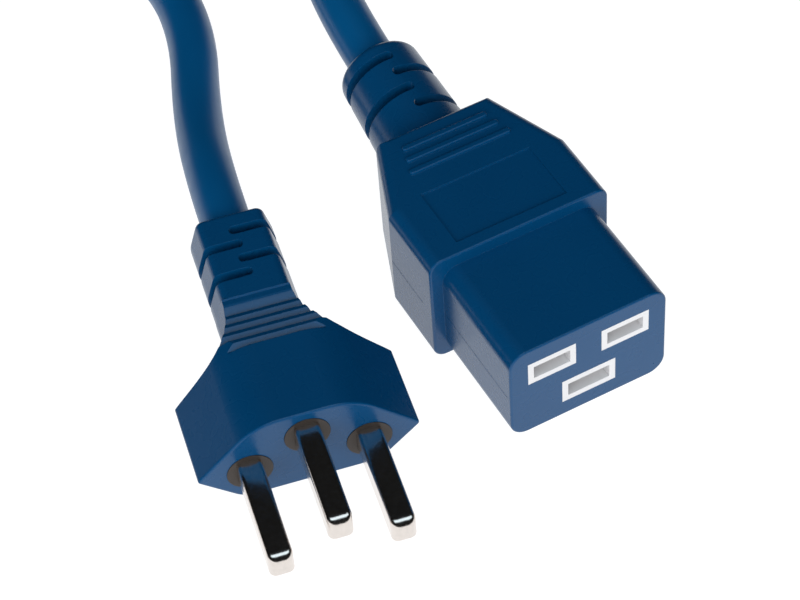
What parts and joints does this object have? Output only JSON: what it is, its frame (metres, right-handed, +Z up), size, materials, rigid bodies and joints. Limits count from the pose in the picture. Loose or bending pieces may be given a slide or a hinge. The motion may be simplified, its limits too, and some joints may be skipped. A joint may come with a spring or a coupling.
{
  "type": "cord-mounted power connector with plug lead",
  "caption": "Moulded cord connector with flat contact openings and a slotted strain relief, on a round cable that ends in a hexagonal plug with rectangular pins.",
  "frame": {"origin": "centre of the connector's underside, on the surface that it lies on", "axes": "-Y out of the mating face, +Y along the connector towards its cable, +X to the right seen from in front of the mating face, +Z up"},
  "size_m": [0.1022, 0.2564, 0.0253],
  "materials": {
    "blue_pvc": "fine satin moulding",
    "cable_sheath": "satin extruded sheath",
    "white_plastic": "satin moulding",
    "brown_plastic": "satin moulding",
    "contact_brass": "plain",
    "nickel_plate": "bright nickel",
    "copper_wire": "plain copper",
    "brown_insulation": "satin",
    "light_blue_insulation": "satin",
    "green_yellow_insulation": "satin"
  },
  "bodies": {
    "root": {"cable_in_connector": "cable_sheath", "cable_in_plug": "cable_sheath", "carrier_rear_cover": "white_plastic", "connector_overmould": "blue_pvc", "contact_carrier": "white_plastic", "cord_coil": "cable_sheath", "cord_connector_side": "cable_sheath", "cord_plug_side": "cable_sheath", "earth_conductor": "copper_wire", "earth_contact": "contact_brass", "earth_insulation": "green_yellow_insulation", "earth_pin": "nickel_plate", "line_conductor": "copper_wire", "line_contact": "contact_brass", "line_insulation": "brown_insulation", "line_pin": "nickel_plate", "neutral_conductor": "copper_wire", "neutral_contact": "contact_brass", "neutral_insulation": "light_blue_insulation", "neutral_pin": "nickel_plate", "pin_bridge": "brown_plastic", "plug_earth_conductor": "copper_wire", "plug_earth_insulation": "green_yellow_insulation", "plug_line_conductor": "copper_wire", "plug_line_insulation": "brown_insulation", "plug_neutral_conductor": "copper_wire", "plug_neutral_insulation": "light_blue_insulation", "plug_overmould": "blue_pvc"}
  },
  "joints": []
}
